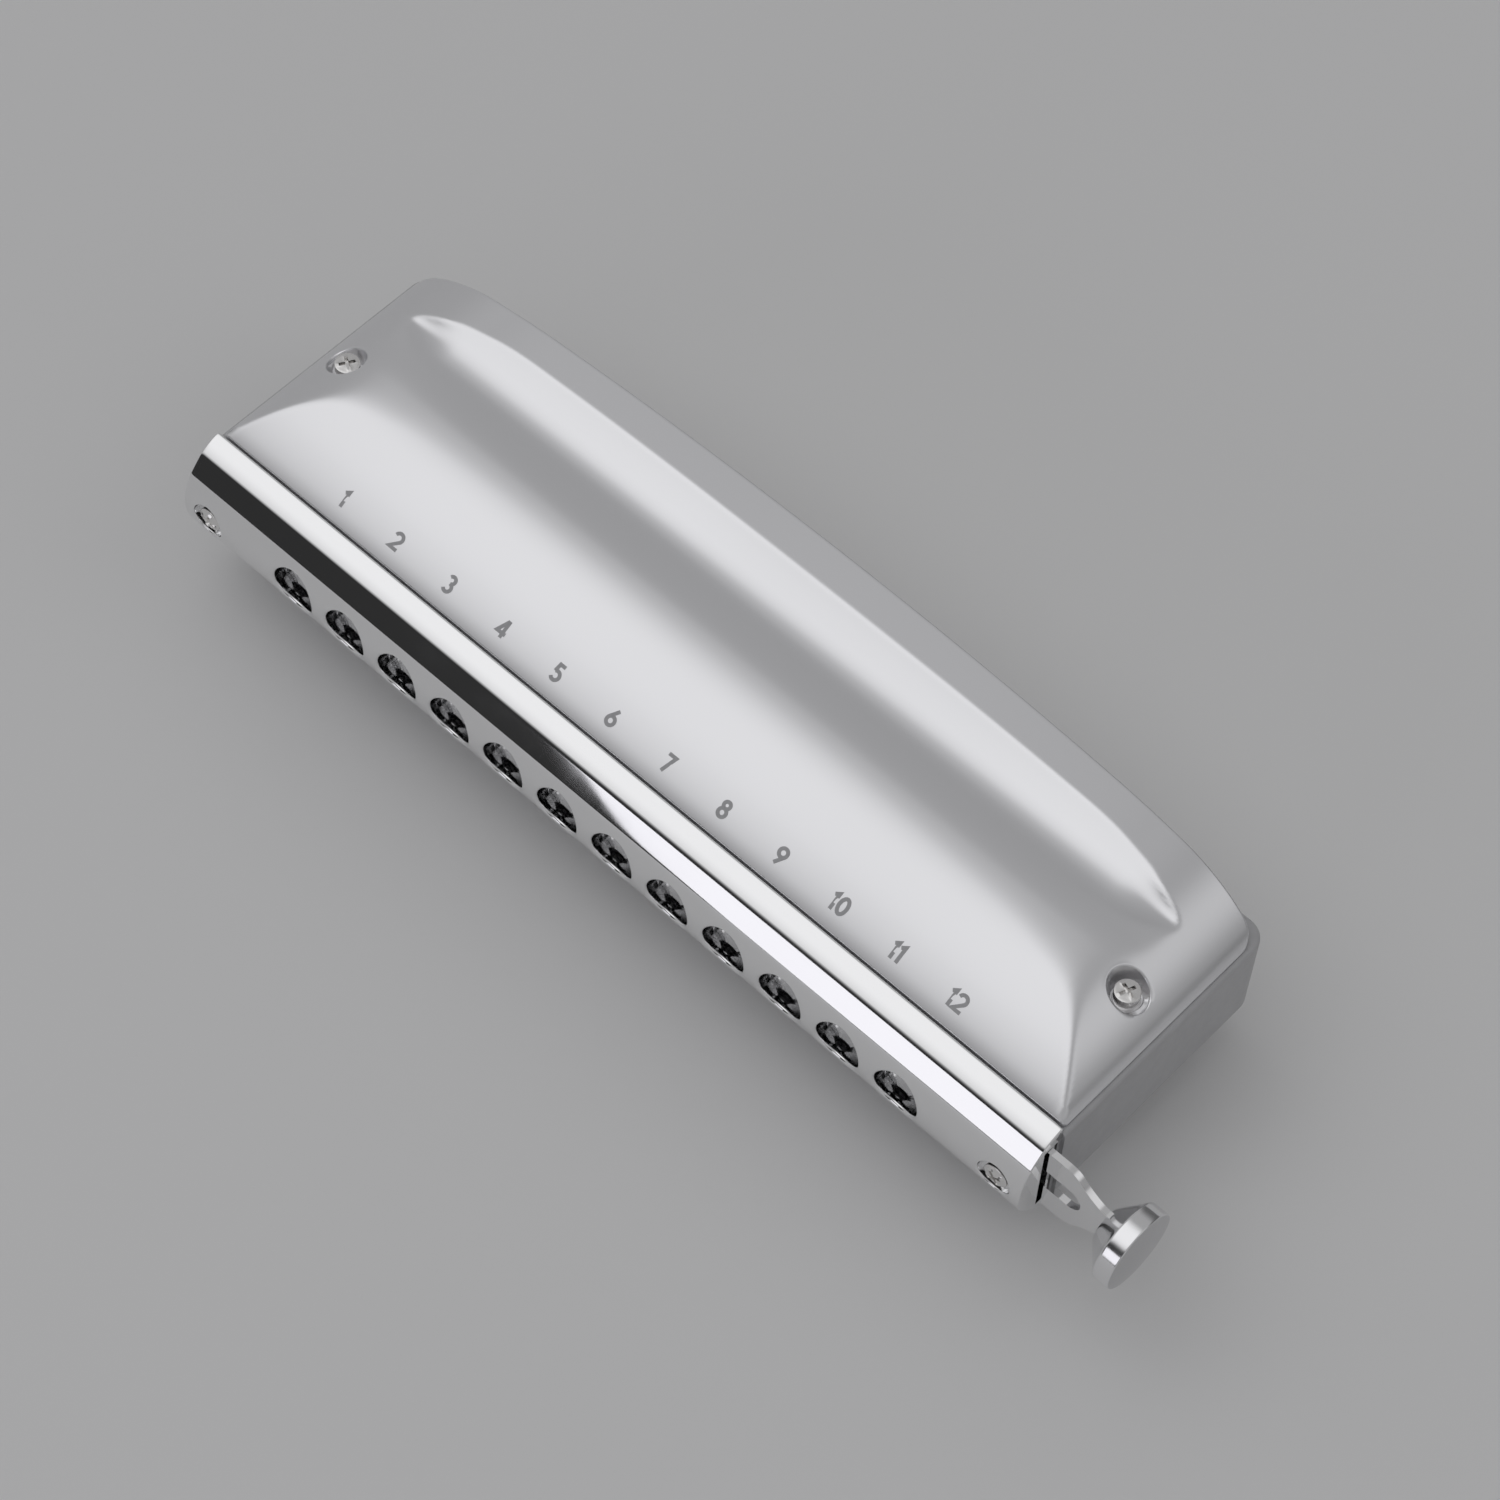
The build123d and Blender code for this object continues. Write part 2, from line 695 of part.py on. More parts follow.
with BuildPart() as slide_bumpers:
    with BuildSketch(at_depth(bumper_rear)):
        with Locations(post_place, mouth_screw_places[1]):
            Circle(bumper_radius)
        with Locations(post_place):
            Circle(post_radius, mode=Mode.SUBTRACT)
        with Locations(mouth_screw_places[1]):
            Circle(mouth_screw_radius, mode=Mode.SUBTRACT)
    extrude(amount=bumper_rear - bumper_front)
slide_bumpers.part.label = "slide_bumpers"
export_step(slide_bumpers.part, "parts/slide_bumpers.step")
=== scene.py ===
import json
import math

import bmesh
import bpy
from mathutils import Matrix, Vector


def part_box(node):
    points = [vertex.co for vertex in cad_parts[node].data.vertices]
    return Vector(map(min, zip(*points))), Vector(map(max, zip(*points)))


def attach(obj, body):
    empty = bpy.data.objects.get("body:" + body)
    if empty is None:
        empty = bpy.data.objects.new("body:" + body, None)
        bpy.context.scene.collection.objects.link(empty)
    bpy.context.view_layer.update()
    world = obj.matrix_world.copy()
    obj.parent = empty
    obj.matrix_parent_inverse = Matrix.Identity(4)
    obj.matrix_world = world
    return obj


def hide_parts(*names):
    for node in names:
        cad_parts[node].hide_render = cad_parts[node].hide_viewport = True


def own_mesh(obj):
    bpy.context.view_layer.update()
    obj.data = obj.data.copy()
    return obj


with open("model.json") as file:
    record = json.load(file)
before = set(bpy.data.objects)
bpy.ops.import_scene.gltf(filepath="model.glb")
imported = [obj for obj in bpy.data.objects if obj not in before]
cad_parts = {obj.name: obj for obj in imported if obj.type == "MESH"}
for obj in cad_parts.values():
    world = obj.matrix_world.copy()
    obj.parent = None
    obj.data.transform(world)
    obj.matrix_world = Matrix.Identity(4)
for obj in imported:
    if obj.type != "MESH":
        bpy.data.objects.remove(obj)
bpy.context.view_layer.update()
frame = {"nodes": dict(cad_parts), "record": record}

# Sizes in millimetres, measured from the datum: the middle of the comb's front face.
MM = 0.001
COMB_DEPTH = 37.7
COMB_TOP = 7.6
HOLE_PITCH = 9.4
HOLE_COUNT = 12
HOLE_PLACES = [(i - (HOLE_COUNT - 1) / 2) * HOLE_PITCH for i in range(HOLE_COUNT)]

comb_low, comb_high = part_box("comb")
datum = Vector((
    (comb_low[0] + comb_high[0]) / 2,
    comb_high[1] - COMB_DEPTH * MM,
    (comb_low[2] + comb_high[2]) / 2,
))


# ---------------------------------------------------------------- small tools

def at(x, y, z):
    """Point in the row frame, from millimetres beside the datum."""
    return datum + Vector((x, y, z)) * MM


def spread(start, end, count):
    """Evenly spaced values from start to end, in count steps."""
    return [start + (end - start) * k / count for k in range(count + 1)]


def smoothstep(low, high, value):
    """Rises smoothly from 0 to 1 as the value goes from low to high."""
    t = min(max((value - low) / (high - low), 0.0), 1.0)
    return t * t * (3 - 2 * t)


def smooth_minimum(a, b, blend):
    """The lower of two values, rounded where they cross."""
    near = max(blend - abs(a - b), 0.0) / blend
    return min(a, b) - near * near * blend / 4


def curve_through(points):
    """Smooth curve through (place, value, slope) points, as a function of place."""
    def value_at(place):
        for (p0, v0, s0), (p1, v1, s1) in zip(points, points[1:]):
            if place <= p1 or (p1, v1, s1) == points[-1]:
                span = p1 - p0
                t = (place - p0) / span
                return (
                    (2 * t ** 3 - 3 * t ** 2 + 1) * v0
                    + (t ** 3 - 2 * t ** 2 + t) * span * s0
                    + (3 * t ** 2 - 2 * t ** 3) * v1
                    + (t ** 3 - t ** 2) * span * s1
                )
    return value_at


def roundover(distance, radius):
    """How far a rounded edge lies below its face, at a distance in from the rim."""
    if distance >= radius:
        return 0.0
    return radius - math.sqrt(radius ** 2 - (radius - distance) ** 2)


def between(inner, outer, t):
    """Places part of the way from one outline to another that pairs with it."""
    return [(a[0] + t * (b[0] - a[0]), a[1] + t * (b[1] - a[1])) for a, b in zip(inner, outer)]


def around_rectangle(centre, half, steps):
    """Places around a rectangle, steps to a side, anticlockwise from its low corner."""
    places = []
    for k in range(steps):
        places.append((-1 + 2 * k / steps, -1))
    for k in range(steps):
        places.append((1, -1 + 2 * k / steps))
    for k in range(steps):
        places.append((1 - 2 * k / steps, 1))
    for k in range(steps):
        places.append((-1, 1 - 2 * k / steps))
    return [(centre[0] + u * half[0], centre[1] + v * half[1]) for u, v in places]


def around_circle(centre, radius, steps):
    """Places around a circle that pair with those around a rectangle."""
    total = 4 * steps
    angles = [-0.75 * math.pi + 2 * math.pi * k / total for k in range(total)]
    return [(centre[0] + radius * math.cos(a), centre[1] + radius * math.sin(a)) for a in angles]


class Skin:
    """Rows of points in millimetres that become one welded mesh."""

    def __init__(self):
        self.points = []
        self.faces = []

    def polygon(self, points):
        start = len(self.points)
        self.points.extend(points)
        self.faces.append(list(range(start, start + len(points))))

    def rows(self, rows, closed=False, skip=lambda row, column: False):
        """Quads between neighbouring rows, all of one length."""
        start = len(self.points)
        width = len(rows[0])
        for row in rows:
            self.points.extend(row)
        for j in range(len(rows) - 1):
            for i in range(width if closed else width - 1):
                if skip(j, i):
                    continue
                a = start + j * width + i
                b = start + j * width + (i + 1) % width
                self.faces.append([a, b, b + width, a + width])

    def build(self, name, material, sharp=40, upside_down=False, weld=0.002):
        mesh = bpy.data.meshes.new(name)
        flip = -1 if upside_down else 1
        mesh.from_pydata([at(x, y, z * flip) for x, y, z in self.points], [], self.faces)
        work = bmesh.new()
        work.from_mesh(mesh)
        bmesh.ops.remove_doubles(work, verts=work.verts, dist=weld * MM)
        bmesh.ops.dissolve_degenerate(work, dist=weld * MM / 2, edges=work.edges)
        bmesh.ops.recalc_face_normals(work, faces=work.faces)
        work.to_mesh(mesh)
        work.free()
        return finished(name, mesh, material, sharp)


def finished(name, mesh, material, sharp=40):
    """Object of a mesh, smooth except across edges sharper than the given angle in degrees."""
    mesh.polygons.foreach_set("use_smooth", [True] * len(mesh.polygons))
    mesh.set_sharp_from_angle(angle=math.radians(sharp))
    piece = bpy.data.objects.new(name, mesh)
    bpy.context.scene.collection.objects.link(piece)
    mesh.materials.append(material)
    return piece


def apply_modifiers(piece):
    """The piece's modifiers become part of its mesh."""
    depsgraph = bpy.context.evaluated_depsgraph_get()
    mesh = bpy.data.meshes.new_from_object(piece.evaluated_get(depsgraph))
    piece.modifiers.clear()
    piece.data = mesh


# ---------------------------------------------------------------- materials

def new_material(name, color, metallic, roughness):
    """A new material and its shader."""
    material = bpy.data.materials.new(name)
    material.use_nodes = True
    nodes = material.node_tree.nodes
    shader = nodes["Principled BSDF"]
    shader.inputs["Base Color"].default_value = (*color, 1)
    shader.inputs["Metallic"].default_value = metallic
    shader.inputs["Roughness"].default_value = roughness
    return material, shader


NOISE_LOW = 0.3
NOISE_HIGH = 0.7


def noise(material, scale, detail=4.0, stretch=(1, 1, 1)):
    """Noise in object space. scale is in cycles to a metre."""
    nodes = material.node_tree.nodes
    links = material.node_tree.links
    place = nodes.new("ShaderNodeTexCoord")
    mapping = nodes.new("ShaderNodeMapping")
    mapping.inputs["Scale"].default_value = stretch
    texture = nodes.new("ShaderNodeTexNoise")
    texture.inputs["Scale"].default_value = scale
    texture.inputs["Detail"].default_value = detail
    links.new(place.outputs["Object"], mapping.inputs["Vector"])
    links.new(mapping.outputs["Vector"], texture.inputs["Vector"])
    return texture.outputs["Fac"]


def vary(material, shader, socket, source, low, high):
    """Drives a number on the shader between low and high from a noise."""
    nodes = material.node_tree.nodes
    links = material.node_tree.links
    ramp = nodes.new("ShaderNodeMapRange")
    ramp.inputs["From Min"].default_value = NOISE_LOW
    ramp.inputs["From Max"].default_value = NOISE_HIGH
    ramp.inputs["To Min"].default_value = low
    ramp.inputs["To Max"].default_value = high
    links.new(source, ramp.inputs["Value"])
    links.new(ramp.outputs["Result"], shader.inputs[socket])


def tint(material, shader, source, dark, light):
    """Drives the base colour between two tones from a noise."""
    nodes = material.node_tree.nodes
    links = material.node_tree.links
    ramp = nodes.new("ShaderNodeValToRGB")
    ramp.color_ramp.elements[0].position = NOISE_LOW
    ramp.color_ramp.elements[1].position = NOISE_HIGH
    ramp.color_ramp.elements[0].color = (*dark, 1)
    ramp.color_ramp.elements[1].color = (*light, 1)
    links.new(source, ramp.inputs["Fac"])
    links.new(ramp.outputs["Color"], shader.inputs["Base Color"])


def bump(material, shader, source, strength, depth):
    """Fine relief from a noise. depth is in metres."""
    nodes = material.node_tree.nodes
    links = material.node_tree.links
    relief = nodes.new("ShaderNodeBump")
    relief.inputs["Strength"].default_value = strength
    relief.inputs["Distance"].default_value = depth
    links.new(source, relief.inputs["Height"])
    links.new(relief.outputs["Normal"], shader.inputs["Normal"])


def satin_plating():
    material, shader = new_material("satin_plating", (0.80, 0.80, 0.815), 1.0, 0.3)
    vary(material, shader, "Roughness", noise(material, 25, 0.0), 0.278, 0.31)
    return material


def mirror_plating():
    material, shader = new_material("mirror_plating", (0.86, 0.86, 0.865), 1.0, 0.05)
    vary(material, shader, "Roughness", noise(material, 120, 5.0), 0.035, 0.075)
    return material


def button_plating():
    """Polished rim and cone. The face, which looks out along the slide, has a darker base colour: painted
    shade in its reflection.
    """
    polished = (0.84, 0.84, 0.85)
    # darker tone for the face: painted shade in its reflection
    painted_face_shade = (0.60, 0.60, 0.61)
    material, shader = new_material("button_plating", polished, 1.0, 0.12)
    nodes = material.node_tree.nodes
    links = material.node_tree.links
    place = nodes.new("ShaderNodeTexCoord")
    parts = nodes.new("ShaderNodeSeparateXYZ")
    links.new(place.outputs["Normal"], parts.inputs["Vector"])
    facing = nodes.new("ShaderNodeMapRange")
    facing.inputs["From Min"].default_value = 0.85
    facing.inputs["From Max"].default_value = 0.97
    links.new(parts.outputs["X"], facing.inputs["Value"])
    # polished tone on the rim and cone, painted shade on the face that looks along the slide
    tones = nodes.new("ShaderNodeValToRGB")
    tones.color_ramp.elements[0].color = (*polished, 1)
    tones.color_ramp.elements[1].color = (*painted_face_shade, 1)
    links.new(facing.outputs["Result"], tones.inputs["Fac"])
    links.new(tones.outputs["Color"], shader.inputs["Base Color"])
    vary(material, shader, "Roughness", noise(material, 600, 4.0), 0.12, 0.17)
    return material


def screw_plating():
    material, shader = new_material("screw_plating", (0.80, 0.79, 0.78), 1.0, 0.16)
    vary(material, shader, "Roughness", noise(material, 2500, 4.0), 0.12, 0.22)
    return material


def comb_plastic():
    material, shader = new_material("comb_plastic", (0.45, 0.45, 0.46), 0.0, 0.42)
    tint(material, shader, noise(material, 400), (0.44, 0.44, 0.45), (0.47, 0.47, 0.48))
    vary(material, shader, "Roughness", noise(material, 1500, 4.0), 0.38, 0.46)
    bump(material, shader, noise(material, 7000, 2.0), 0.08, 0.00003)
    return material


def brass():
    material, shader = new_material("brass", (0.78, 0.60, 0.30), 1.0, 0.3)
    tint(material, shader, noise(material, 150), (0.70, 0.52, 0.25), (0.80, 0.63, 0.33))
    vary(material, shader, "Roughness", noise(material, 500, 5.0, (0.1, 1, 1)), 0.24, 0.4)
    return material


def valve_film():
    material, shader = new_material("valve_film", (0.82, 0.82, 0.78), 0.0, 0.5)
    tint(material, shader, noise(material, 300), (0.78, 0.78, 0.73), (0.85, 0.85, 0.81))
    return material


def silicone():
    material, shader = new_material("silicone", (0.78, 0.78, 0.76), 0.0, 0.45)
    vary(material, shader, "Roughness", noise(material, 800), 0.4, 0.55)
    return material


def gasket_rubber():
    material, shader = new_material("gasket_rubber", (0.03, 0.03, 0.03), 0.0, 0.7)
    vary(material, shader, "Roughness", noise(material, 1200), 0.6, 0.8)
    return material


def plain_steel():
    material, shader = new_material("plain_steel", (0.62, 0.62, 0.63), 1.0, 0.25)
    vary(material, shader, "Roughness", noise(material, 700, 5.0, (0.15, 1, 1)), 0.2, 0.32)
    return material


def printed_grey():
    material, shader = new_material("printed_grey", (0.40, 0.40, 0.41), 0.3, 0.5)
    vary(material, shader, "Roughness", noise(material, 2000), 0.45, 0.6)
    return material


SATIN = satin_plating()
MIRROR = mirror_plating()
BUTTON = button_plating()
SCREW = screw_plating()
COMB = comb_plastic()
BRASS = brass()
FILM = valve_film()
SILICONE = silicone()
GASKET = gasket_rubber()
STEEL = plain_steel()
PRINT = printed_grey()

slot_materials = {
    "cover_plating": SATIN,
    "mouthpiece_plating": MIRROR,
    "screw_plating": SCREW,
    "comb_body": COMB,
    "reed_brass": BRASS,
    "valve_film": FILM,
    "bumper_silicone": SILICONE,
    "gasket_rubber": GASKET,
    "spring_steel": STEEL,
}
for entry in frame["record"]["subparts"]:
    node = frame["nodes"][entry["node"]]
    for material_slot in node.material_slots:
        material_slot.material = slot_materials[entry["material_slot"]]


# ---------------------------------------------------------------- covers

COVER_HALF = 71.2
COVER_FRONT = 0.3
COVER_REAR = 38.1
COVER_REAR_SIDE = 35.5
COVER_TOP = 16.1
COVER_SHEET = 0.8
COVER_EDGE_ROUND = 0.2
FRONT_CORNER = 0.9
REAR_CORNER = 2.6
OPENING_HALF = 61.0
OPENING_TOP = 13.2
OPENING_CORNER = 3.0
VALLEY_SWING = 3.0
VALLEY_DROP = 0.9
# depths and distances from the middle between which the valley's ends begin and fade
VALLEY_FRONT = (18, 27)
VALLEY_BACK = (27.3, 30.3)
VALLEY_SIDE = (56, 66)
# the crease between slope and arch: how wide it is, and where over the hump it is softer
CREASE = 0.15
HUMP_CREASE = 1.1
HUMP_FRONT = (5, 18)
HUMP_BACK = (22, 28)
# depths at which the cover's even rows of points start and end
EVEN_START = 1.8
EVEN_END = 30
COVER_SCREW = (65.88, 17.48)
RECESS_RADIUS = 2.6
RECESS_LIP = 0.3
RECESS_FLOOR = 10.4
RECESS_FOOT = 2.15
RECESS_FOOT_RISE = 0.3
RECESS_FOOT_RUN = 0.2
RECESS_PATCH = 3.9
PATCH_STEPS = 16
SCREW_HOLE = 1.15

# depth, height, slope: front slope, hump, valley and the rise to the ridge
front_slope = curve_through([
    (-0.5, 8.15, 0.72),
    (5.3, 11.65, 0.51),
    (10.8, 13.92, 0.34),
    (18.0, 15.0, 0.0),
    (22.6, 14.4, -0.19),
    (25.4, 13.95, -0.02),
    (27.5, 14.07, 0.17),
    (29.3, 14.55, 0.40),
    (32.8, 16.2, 0.54),
    (39.0, 19.6, 0.54),
])
# distance from the middle, height, slope: the long arch that falls to both ends
end_arch = curve_through([
    (0, COVER_TOP, 0.0),
    (43, 15.85, -0.015),
    (54, 15.45, -0.09),
    (60, 14.8, -0.20),
    (64, 13.55, -0.42),
    (68, 11.3, -0.73),
    (70, 9.65, -0.93),
    (COVER_HALF, 8.0, -1.9),
])
rear_bow = curve_through([
    (0, COVER_REAR, 0.0),
    (COVER_HALF, COVER_REAR_SIDE, -2 * (COVER_REAR - COVER_REAR_SIDE) / COVER_HALF),
])


def cover_height(x, y):
    """Height of the skin, before its rim is rounded. The valley swings back and sinks at its ends."""
    across_valley = smoothstep(*VALLEY_FRONT, y) * (1 - smoothstep(*VALLEY_BACK, y))
    valley_end = across_valley * smoothstep(*VALLEY_SIDE, abs(x))
    slope = front_slope(y - VALLEY_SWING * valley_end) - VALLEY_DROP * valley_end
    soft = smoothstep(*HUMP_FRONT, y) * (1 - smoothstep(*HUMP_BACK, y))
    return smooth_minimum(slope, end_arch(abs(x)), CREASE + HUMP_CREASE * soft)


def cover_front_edge(x):
    over = max(abs(x) - (COVER_HALF - FRONT_CORNER), 0)
    return COVER_FRONT + FRONT_CORNER - math.sqrt(max(FRONT_CORNER ** 2 - over ** 2, 0))


def cover_rear_edge(x):
    corner = COVER_HALF - REAR_CORNER
    if abs(x) <= corner:
        return rear_bow(abs(x))
    over = abs(x) - corner
    return rear_bow(corner) - REAR_CORNER + math.sqrt(max(REAR_CORNER ** 2 - over ** 2, 0))


def opening_edge(x):
    """Height of the rear opening's upper edge, and of the corner's foot outside it."""
    straight = OPENING_HALF - OPENING_CORNER
    over = min(max(abs(x) - straight, 0), OPENING_CORNER)
    return OPENING_TOP - OPENING_CORNER + math.sqrt(OPENING_CORNER ** 2 - over ** 2)


def mirrored(values):
    """Values on both sides of zero, in order."""
    return sorted({-v for v in values} | set(values))


def cover_columns():
    """Places across the cover: dense at the corners, even through the screw recess."""
    straight = OPENING_HALF - OPENING_CORNER
    inner = COVER_SCREW[0] - RECESS_PATCH
    outer = COVER_SCREW[0] + RECESS_PATCH
    corner = COVER_HALF - REAR_CORNER
    first = math.asin((outer - corner) / REAR_CORNER)
    values = spread(0, straight, 76)
    values += [straight + OPENING_CORNER * math.sin(a) for a in spread(0, math.pi / 2, 8)[1:]]
    values += spread(OPENING_HALF, inner, 2)[1:]
    values += spread(inner, outer, PATCH_STEPS)[1:]
    values += [corner + REAR_CORNER * math.sin(a) for a in spread(first, math.pi / 2, 8)[1:]]
    return mirrored([round(v, 6) for v in values])


def cover(name, node, upside_down):
    """One pressed cover, with its screw recesses and its opening at the back."""
    skin = Skin()
    columns = cover_columns()
    rim = spread(0, COVER_EDGE_ROUND, 4)
    first_steady = len(rim)
    patch_low = COVER_SCREW[1] - RECESS_PATCH
    patch_high = COVER_SCREW[1] + RECESS_PATCH
    steady = spread(EVEN_START, patch_low, 30) + spread(patch_low, patch_high, PATCH_STEPS)[1:]
    steady += spread(patch_high, EVEN_END, 22)[1:]
    fan = spread(0, 1, 30)[1:]

    def rim_point(x, y, d):
        return (x, y, cover_height(x, y) - roundover(d, COVER_EDGE_ROUND))

    rows = []
    for d in rim:
        rows.append([rim_point(x, cover_front_edge(x) + d, d) for x in columns])
    for y in steady:
        rows.append([(x, y, cover_height(x, y)) for x in columns])
    for t in fan:
        row = []
        for x in columns:
            y = steady[-1] + t * (cover_rear_edge(x) - COVER_EDGE_ROUND - steady[-1])
            row.append((x, y, cover_height(x, y)))
        rows.append(row)
    for d in reversed(rim[:-1]):
        rows.append([rim_point(x, cover_rear_edge(x) - d, d) for x in columns])

    def in_patch(j, i):
        """True for a quad that the patch around a screw recess takes the place of."""
        if not first_steady <= j < first_steady + len(steady):
            return False
        slack = 0.01
        beside = (columns[i] - COVER_SCREW[0], columns[i] + COVER_SCREW[0])
        behind = rows[j][0][1] - COVER_SCREW[1]
        inside = [-RECESS_PATCH - slack < off < RECESS_PATCH - slack for off in (*beside, behind)]
        return inside[2] and (inside[0] or inside[1])

    skin.rows(rows, skip=in_patch)
    # edges that stand on the comb
    skin.rows([rows[0], [(x, y, COMB_TOP) for x, y, z in rows[0]]])
    for side in (0, -1):
        edge = [row[side] for row in rows]
        skin.rows([edge, [(x, y, COMB_TOP) for x, y, z in edge]])
    # rear wall above the opening, and its feet beside the opening
    back = rows[-1]
    wall = []
    for t in spread(0, 1, 5):
        wall.append([(x, y, z + t * (min(opening_edge(x), z) - z)) for x, y, z in back])
    skin.rows(wall)
    for side in (-1, 1):
        foot = [p for p in wall[-1] if p[0] * side >= OPENING_HALF - 0.001]
        skin.rows([foot, [(x, y, COMB_TOP) for x, y, z in foot]])
    # screw recesses
    for side in (-1, 1):
        centre = (side * COVER_SCREW[0], COVER_SCREW[1])
        square = around_rectangle(centre, (RECESS_PATCH, RECESS_PATCH), PATCH_STEPS)
        rim_circle = around_circle(centre, RECESS_RADIUS + RECESS_LIP, PATCH_STEPS)
        rings = []
        for t in spread(0, 1, 5):
            rings.append([(x, y, cover_height(x, y)) for x, y in between(square, rim_circle, t)])
        lip_heights = [p[2] for p in rings[-1]]
        for a in spread(0, math.pi / 2, 5)[1:]:
            circle = around_circle(centre, RECESS_RADIUS + RECESS_LIP * (1 - math.sin(a)), PATCH_STEPS)
            drop = RECESS_LIP * (1 - math.cos(a))
            rings.append([(x, y, z - drop) for (x, y), z in zip(circle, lip_heights)])
        for radius, rise in (
            (RECESS_FOOT, RECESS_FOOT_RISE),
            (RECESS_FOOT - RECESS_FOOT_RUN, 0),
            (SCREW_HOLE, 0),
        ):
            circle = around_circle(centre, radius, PATCH_STEPS)
            rings.append([(x, y, RECESS_FLOOR + rise) for x, y in circle])
        skin.rows(rings, closed=True)
    piece = skin.build(name, SATIN, sharp=38, upside_down=upside_down)
    sheet = piece.modifiers.new("sheet", "SOLIDIFY")
    sheet.thickness = COVER_SHEET * MM
    sheet.offset = -1
    apply_modifiers(piece)
    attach(piece, "body")
    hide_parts(node)


cover("cover_top", "upper_cover", upside_down=False)
cover("cover_underside", "lower_cover", upside_down=True)


# ---------------------------------------------------------------- hole numbers

NUMBER_DEPTH = 3.25
NUMBER_HEIGHT = 2.45
NUMBER_STROKE = 0.5
NUMBER_TILT = math.atan(0.56)
NUMBER_LIFT = 0.02
STROKE_LIFT = 0.003
# middle of each digit beside the number's middle, in digit heights. The ones of 11 stand closer.
ONE_DIGIT = [0]
TWO_DIGITS = [-0.3, 0.27]
TWO_ONES = [-0.2, 0.2]


def arc(centre, radii, start, end, steps=20):
    """Places along part of an ellipse, between two angles in degrees."""
    return [
        (centre[0] + radii[0] * math.cos(math.radians(a)), centre[1] + radii[1] * math.sin(math.radians(a)))
        for a in spread(start, end, steps)
    ]


# middle lines of the digits' strokes, one digit height tall
six = [arc((0, 0.32), (0.24, 0.24), 0, 360), [(-0.197, 0.458), (0.15, 0.97)]]
DIGITS = {
    "0": [arc((0, 0.5), (0.24, 0.42), 0, 360)],
    "1": [[(-0.15, 0.75), (0.07, 0.90), (0.07, 0.0)]],
    "2": [arc((0, 0.67), (0.25, 0.25), 165, -38) + [(-0.25, 0.075), (0.29, 0.075)]],
    "3": [arc((-0.02, 0.72), (0.2, 0.2), 150, -90), arc((-0.02, 0.3), (0.23, 0.23), 90, -150)],
    "4": [[(0.09, 0.97), (-0.26, 0.26), (0.31, 0.26)], [(0.12, 1.0), (0.12, 0.0)]],
    "5": [[(0.22, 0.925), (-0.13, 0.925), (-0.18, 0.5)], arc((-0.02, 0.32), (0.245, 0.245), 128, -148)],
    "6": six,
    "7": [[(-0.26, 0.925), (0.22, 0.925), (-0.09, 0.0)]],
    "8": [arc((0, 0.735), (0.19, 0.19), 0, 360), arc((0, 0.305), (0.23, 0.23), 0, 360)],
    "9": [[(-x, 1 - z) for x, z in stroke] for stroke in six],
}


MITRE_LIMIT = 0.45


def ribbon(points, width):
    """Left and right edge of a stroke, mitred at its corners."""
    places = [Vector(p) for p in points]
    closed = (places[0] - places[-1]).length < 1e-6
    left, right = [], []
    for i, place in enumerate(places):
        before = places[i - 1] if i else (places[-2] if closed else None)
        after = places[i + 1] if i + 1 < len(places) else (places[1] if closed else None)
        come = (place - before).normalized() if before else (after - place).normalized()
        go = (after - place).normalized() if after else come
        normal = (Vector((-come.y, come.x)) + Vector((-go.y, go.x))).normalized()
        reach = width / 2 / max(normal.dot(Vector((-come.y, come.x))), MITRE_LIMIT)
        left.append(place + normal * reach)
        right.append(place - normal * reach)
    return left, right


def hole_number(number, x):
    """A printed number that lies on the cover's front slope, above its hole."""
    skin = Skin()
    digits = str(number)
    offsets = ONE_DIGIT if len(digits) == 1 else TWO_DIGITS
    if digits == "11":
        offsets = TWO_ONES
    level = NUMBER_LIFT
    for digit, offset in zip(digits, offsets):
        for stroke in DIGITS[digit]:
            rows = []
            for edge in ribbon(stroke, NUMBER_STROKE / NUMBER_HEIGHT):
                row = []
                for p in edge:
                    across = x + (p.x + offset) * NUMBER_HEIGHT
                    depth = NUMBER_DEPTH + (p.y - 0.5) * NUMBER_HEIGHT * math.cos(NUMBER_TILT)
                    row.append((across, depth, cover_height(across, depth) + level))
                rows.append(row)
            skin.rows(rows)
            level += STROKE_LIFT
    piece = skin.build(f"number_{number}", PRINT, weld=0.0005)
    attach(piece, "body")


for index, place in enumerate(HOLE_PLACES):
    hole_number(index + 1, place)


# ---------------------------------------------------------------- mouthpiece

MOUTH_HALF = 71.5
MOUTH_FRONT = -6.9
STRIP_EDGE = (-3.33, 7.6)
CHAMFER_EDGE = (-5.27, 5.42)
STRIP_REAR_ROUND = 0.3
FRONT_RISE = CHAMFER_EDGE[0] - MOUTH_FRONT
FRONT_RADIUS = (FRONT_RISE ** 2 + CHAMFER_EDGE[1] ** 2) / (2 * FRONT_RISE)
POCKET_LEFT = -65.4
POCKET_FLOOR = -3.1
POCKET_HALF = 6.5
HOLE_RADIUS = 3.45
HOLE_LIP = 0.45
HOLE_PATCH = (HOLE_PITCH / 2, 4.75)
MOUTH_SCREW = 67.38
MOUTH_SCREW_PATCH = (3.3, 4.75)
MOUTH_RECESS = 2.5
MOUTH_RECESS_LIP = 0.25
MOUTH_SEAT = -5.6
MOUTH_SCREW_HOLE = 1.05
END_ROUND = 0.18
CHAMFER_LOW_ROUND = 0.06
CHAMFER_HIGH_ROUND = 0.12
CHAMFER_CROWN = 0.03
STRIP_EDGE_SHARE = 0.3
STRIP_EDGE_DROP = 0.015
SECTION_MIDDLE = (-2.5, 0)


